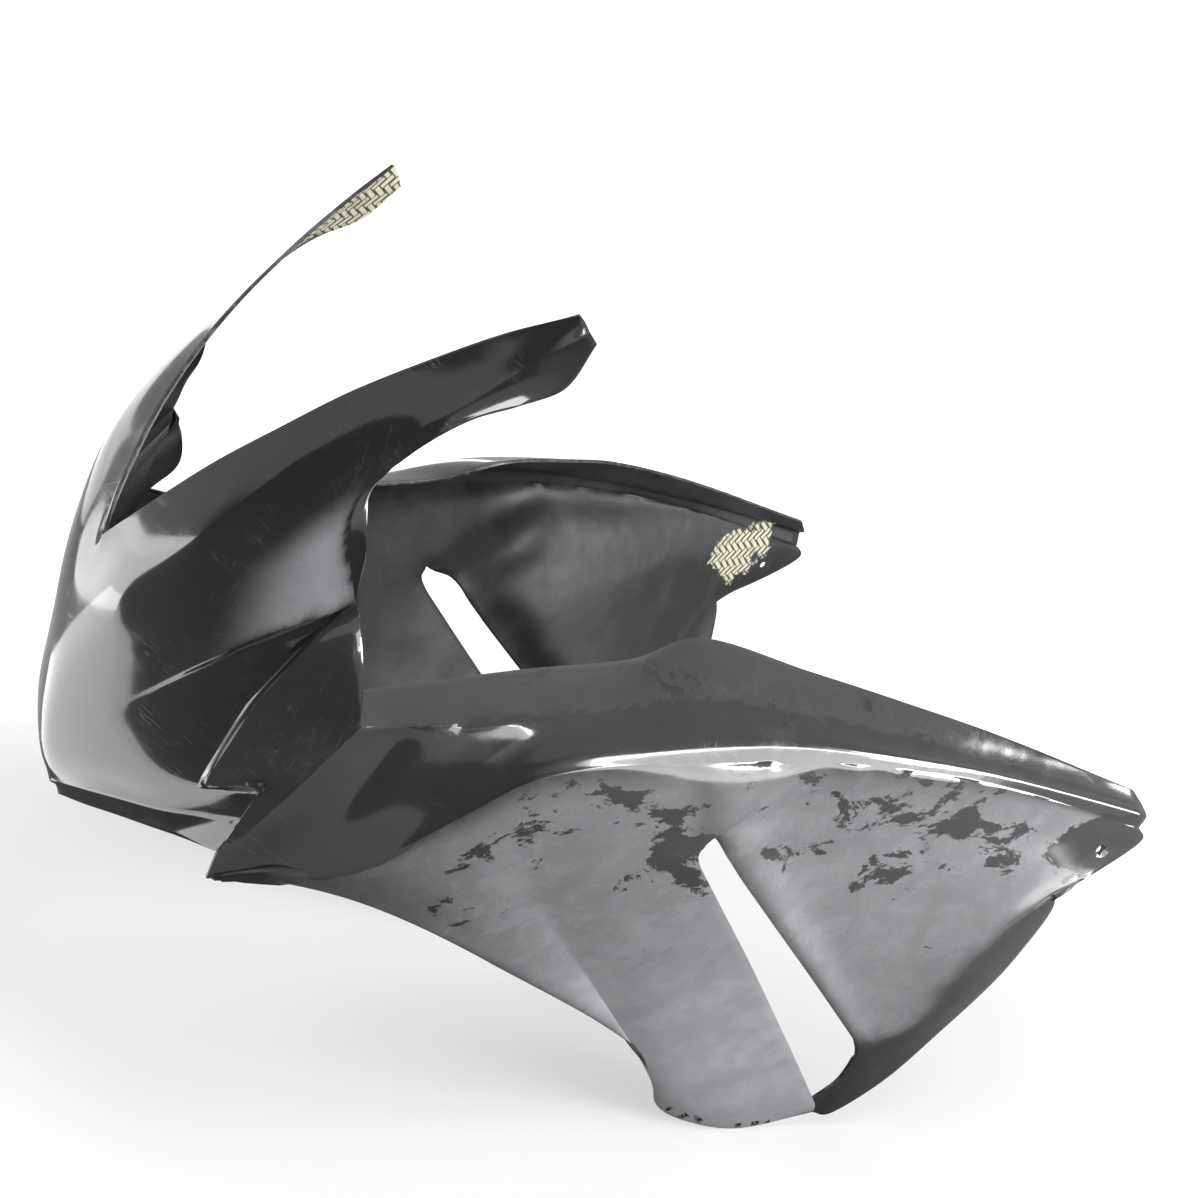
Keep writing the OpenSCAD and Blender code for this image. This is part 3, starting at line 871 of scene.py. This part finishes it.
def set_world(scene, studio):
    """White to the camera, even light on the part, and a dimmer room in its reflections."""
    scene.world = bpy.data.worlds.new("studio")
    scene.world.use_nodes = True
    net = Net(scene.world.node_tree)
    seen, glossy = net.rays("Camera", "Glossy")
    way = net.node("ShaderNodeTexCoord", out=0)
    front = net.node("ShaderNodeVectorMath", {0: way, 1: DIM_WAY}, out=1, operation="DOT_PRODUCT")
    x, y, z = net.parts(way)
    room = (1.0 - front.ramp(0.45, 0.75, 0.0, 0.75) * z.ramp(0.3, 0.55, 1.0, 0.0)) * z.ramp(0.02, 0.2, 1.0, 0.7)
    level = seen.high(glossy * room + (1.0 - glossy) * studio.sky)
    back = net.node("ShaderNodeBackground", {"Color": (1, 1, 1), "Strength": level})
    net.node("ShaderNodeOutputWorld", {"Surface": back})


def set_lamps(scene, studio):
    for name, place, aim, width, height in LAMPS:
        light = bpy.data.lights.new(name, "AREA")
        light.shape, light.energy, light.size, light.size_y = "RECTANGLE", getattr(studio, name), width, height
        lamp = bpy.data.objects.new(name, light)
        lamp.location = Vector(place) - MIDDLE
        lamp.rotation_euler = (Vector(aim) - Vector(place)).to_track_quat("-Z", "Y").to_euler()
        lamp.visible_camera = False
        scene.collection.objects.link(lamp)


def set_camera(scene):
    camera = bpy.data.cameras.new("camera")
    camera.lens, camera.sensor_width, camera.clip_end = LENS, SENSOR, 60.0
    eye = bpy.data.objects.new("camera", camera)
    eye.matrix_world = Matrix.Translation(CAMERA_PLACE - MIDDLE) @ Matrix(CAMERA_AXES).transposed().to_4x4()
    scene.collection.objects.link(eye)
    scene.camera = eye


class FAIRING_OT_studio(bpy.types.Operator):
    """Sets the floor, the light and the camera."""
    bl_idname = "fairing.studio"
    bl_label = "Set studio"

    def execute(self, context):
        scene, studio = context.scene, context.scene.fairing_studio
        set_floor(studio)
        set_card()
        set_world(scene, studio)
        set_lamps(scene, studio)
        set_camera(scene)
        scene.view_settings.view_transform = "Standard"
        return {"FINISHED"}


class FAIRING_PT_panel(bpy.types.Panel):
    """Fairing sizes, finish and studio."""
    bl_idname = "FAIRING_PT_panel"
    bl_label = "Race fairing"
    bl_space_type = "VIEW_3D"
    bl_region_type = "UI"
    bl_category = "Fairing"

    def draw(self, context):
        for group, operator in (("fairing_shape", "fairing.skin"), ("fairing_finish", None),
                                ("fairing_studio", "fairing.studio")):
            values = getattr(context.scene, group)
            for name in values.__annotations__:
                self.layout.prop(values, name)
            if operator:
                self.layout.operator(operator)


CLASSES = (FairingShape, FairingFinish, FairingStudio, FAIRING_OT_skin, FAIRING_OT_studio, FAIRING_PT_panel)
GROUPS = {"fairing_shape": FairingShape, "fairing_finish": FairingFinish, "fairing_studio": FairingStudio}


def register():
    for cls in CLASSES:
        bpy.utils.register_class(cls)
    for name, group in GROUPS.items():
        setattr(bpy.types.Scene, name, bpy.props.PointerProperty(type=group))


def unregister():
    for name in GROUPS:
        delattr(bpy.types.Scene, name)
    for cls in reversed(CLASSES):
        bpy.utils.unregister_class(cls)


def main():
    register()
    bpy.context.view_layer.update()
    bpy.ops.fairing.skin()
    bpy.ops.fairing.studio()


if __name__ == "__main__":
    main()
